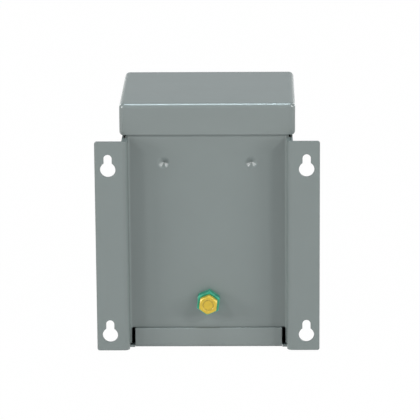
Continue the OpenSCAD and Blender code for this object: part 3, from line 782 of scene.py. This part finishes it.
@dataclass(frozen=True)
class WhiteRoom:
    """White surroundings and a pale table that keeps the case's shadow.

    Attributes:
        surround: Strength of the light from all round; at 0 only the lamps light the case.
        table: Grey value of the table.
        table_white: Share of plain white that the table shows to the camera.
        table_reach: How far the table reaches from the case's middle, in metres.
    """

    surround: float = 0.0
    table: float = 0.9
    table_white: float = 0.99
    table_reach: float = 6.0

    def make_world(self) -> None:
        """Show plain white all round, and light the case from there by the surround's strength."""
        world = bpy.data.worlds.new("white_surroundings")
        world.use_nodes = True
        tree = world.node_tree
        tree.nodes.clear()
        dim, white = (tree.nodes.new("ShaderNodeBackground") for _ in range(2))
        for background, strength in ((dim, self.surround), (white, 1.0)):
            background.inputs["Color"].default_value = WHITE
            background.inputs["Strength"].default_value = strength
        output = tree.nodes.new("ShaderNodeOutputWorld")
        mix_by_ray(tree, dim.outputs["Background"], white.outputs["Background"], 1.0, output.inputs["Surface"])
        bpy.context.scene.world = world

    def make_table(self) -> None:
        """Lay the table under the case."""
        mesh = bpy.data.meshes.new("table_top")
        shape = bmesh.new()
        bmesh.ops.create_grid(shape, x_segments=1, y_segments=1, size=self.table_reach)
        shape.to_mesh(mesh)
        shape.free()
        table = bpy.data.objects.new("table_top", mesh)
        bpy.context.scene.collection.objects.link(table)
        g = Graph("table_white")
        g.set(Roughness=0.8, Base_Color=(self.table, self.table, self.table, 1.0))
        glow = g.add("ShaderNodeEmission", {"Color": WHITE, "Strength": 1.0})
        mix_by_ray(g.tree, g.surface.outputs["BSDF"], glow.outputs["Emission"], self.table_white,
                   g.output.inputs["Surface"])
        mesh.materials.append(g.material)

    def build(self) -> None:
        """Make the surroundings and the table."""
        self.make_world()
        self.make_table()


@dataclass(frozen=True)
class Studio:
    """The room, the lamps and the camera that took the photograph.

    Attributes:
        wall_y: Y of the mounting plane, in metres.
        room: The surroundings and the table.
        lamps: The softboxes.
        focal_px: Focal length in pixels of the frame.
        frame_px: Width of the frame in pixels.
        sensor_mm: Width of the camera's sensor in millimetres.
        clip: Nearest and farthest distance that the camera sees, in metres.
        pitch_deg: How far the camera looks down, in degrees.
        yaw_deg: How far the camera stands to the right of the case's middle, in degrees.
        roll_deg: Turn of the camera about its own axis, in degrees.
        distance_mm: Distance from the camera to its target in millimetres.
        target_mm: Target in millimetres: to the right of the case's middle, above its foot, and
            from the mounting plane towards the camera.
    """

    wall_y: float
    room: WhiteRoom = WhiteRoom()
    lamps: tuple[Softbox, ...] = (
        Softbox("left_key", -45.0, 33.0, 0.35, 0.35, 13.0),
        Softbox("right_key", 45.0, 33.0, 0.35, 0.35, 16.0),
        Softbox("left_fill", -66.0, 14.0, 0.8, 0.8, 26.5),
        Softbox("right_fill", 63.0, 14.0, 0.8, 0.8, 22.5),
        Softbox("far_left", -148.0, 9.0, 0.8, 0.8, 21.0),
        Softbox("far_right", 148.0, 9.0, 0.8, 0.8, 21.0),
        Softbox("overhead", 0.0, 86.0, 0.5, 1.2, 26.0, (0.75, 0.93, 1.0)),
    )
    focal_px: float = 2899.6
    frame_px: float = 420.0
    sensor_mm: float = 36.0
    clip: tuple[float, float] = (0.1, 50.0)
    pitch_deg: float = 14.77
    yaw_deg: float = 0.98
    roll_deg: float = -0.417
    distance_mm: float = 2557.4
    target_mm: tuple[float, float, float] = (1.37, 115.6, -50.0)

    def build(self) -> None:
        """Make the room, hang the lamps and set up the camera."""
        self.room.build()
        for lamp in self.lamps:
            lamp.build()
        self.make_camera()

    def make_camera(self) -> None:
        """Set up the camera that took the photograph."""
        pitch, yaw, roll = (math.radians(v) for v in (self.pitch_deg, self.yaw_deg, self.roll_deg))
        forward = Vector((math.sin(yaw) * math.cos(pitch), -math.cos(yaw) * math.cos(pitch), -math.sin(pitch)))
        right = Vector((-math.cos(yaw), -math.sin(yaw), 0.0))
        up = right.cross(forward)
        across = right * math.cos(roll) + up * math.sin(roll)
        upward = up * math.cos(roll) - right * math.sin(roll)
        u, v, w = (c * MM for c in self.target_mm)
        target = Vector((-u, self.wall_y + w, v))
        place = target - forward * (self.distance_mm * MM)
        data = bpy.data.cameras.new("photograph_camera")
        data.sensor_width = self.sensor_mm
        data.lens = self.focal_px * self.sensor_mm / self.frame_px
        data.clip_start, data.clip_end = self.clip
        camera = bpy.data.objects.new("photograph_camera", data)
        axes = Matrix((across, upward, -forward)).transposed().to_4x4()
        camera.matrix_world = Matrix.Translation(place) @ axes
        bpy.context.scene.collection.objects.link(camera)
        bpy.context.scene.camera = camera
        bpy.context.scene.view_settings.view_transform = "Standard"


def main() -> None:
    """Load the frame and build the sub-assemblies in order."""
    logging.basicConfig(level=logging.INFO, format="%(message)s")
    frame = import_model()
    _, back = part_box("back_bracket")
    Studio(wall_y=back[1]).build()
    for part in (SteelCase, Fasteners, CoreAndCoil, WiringRoom):
        part(frame["nodes"]).build()


if __name__ == "__main__":
    main()
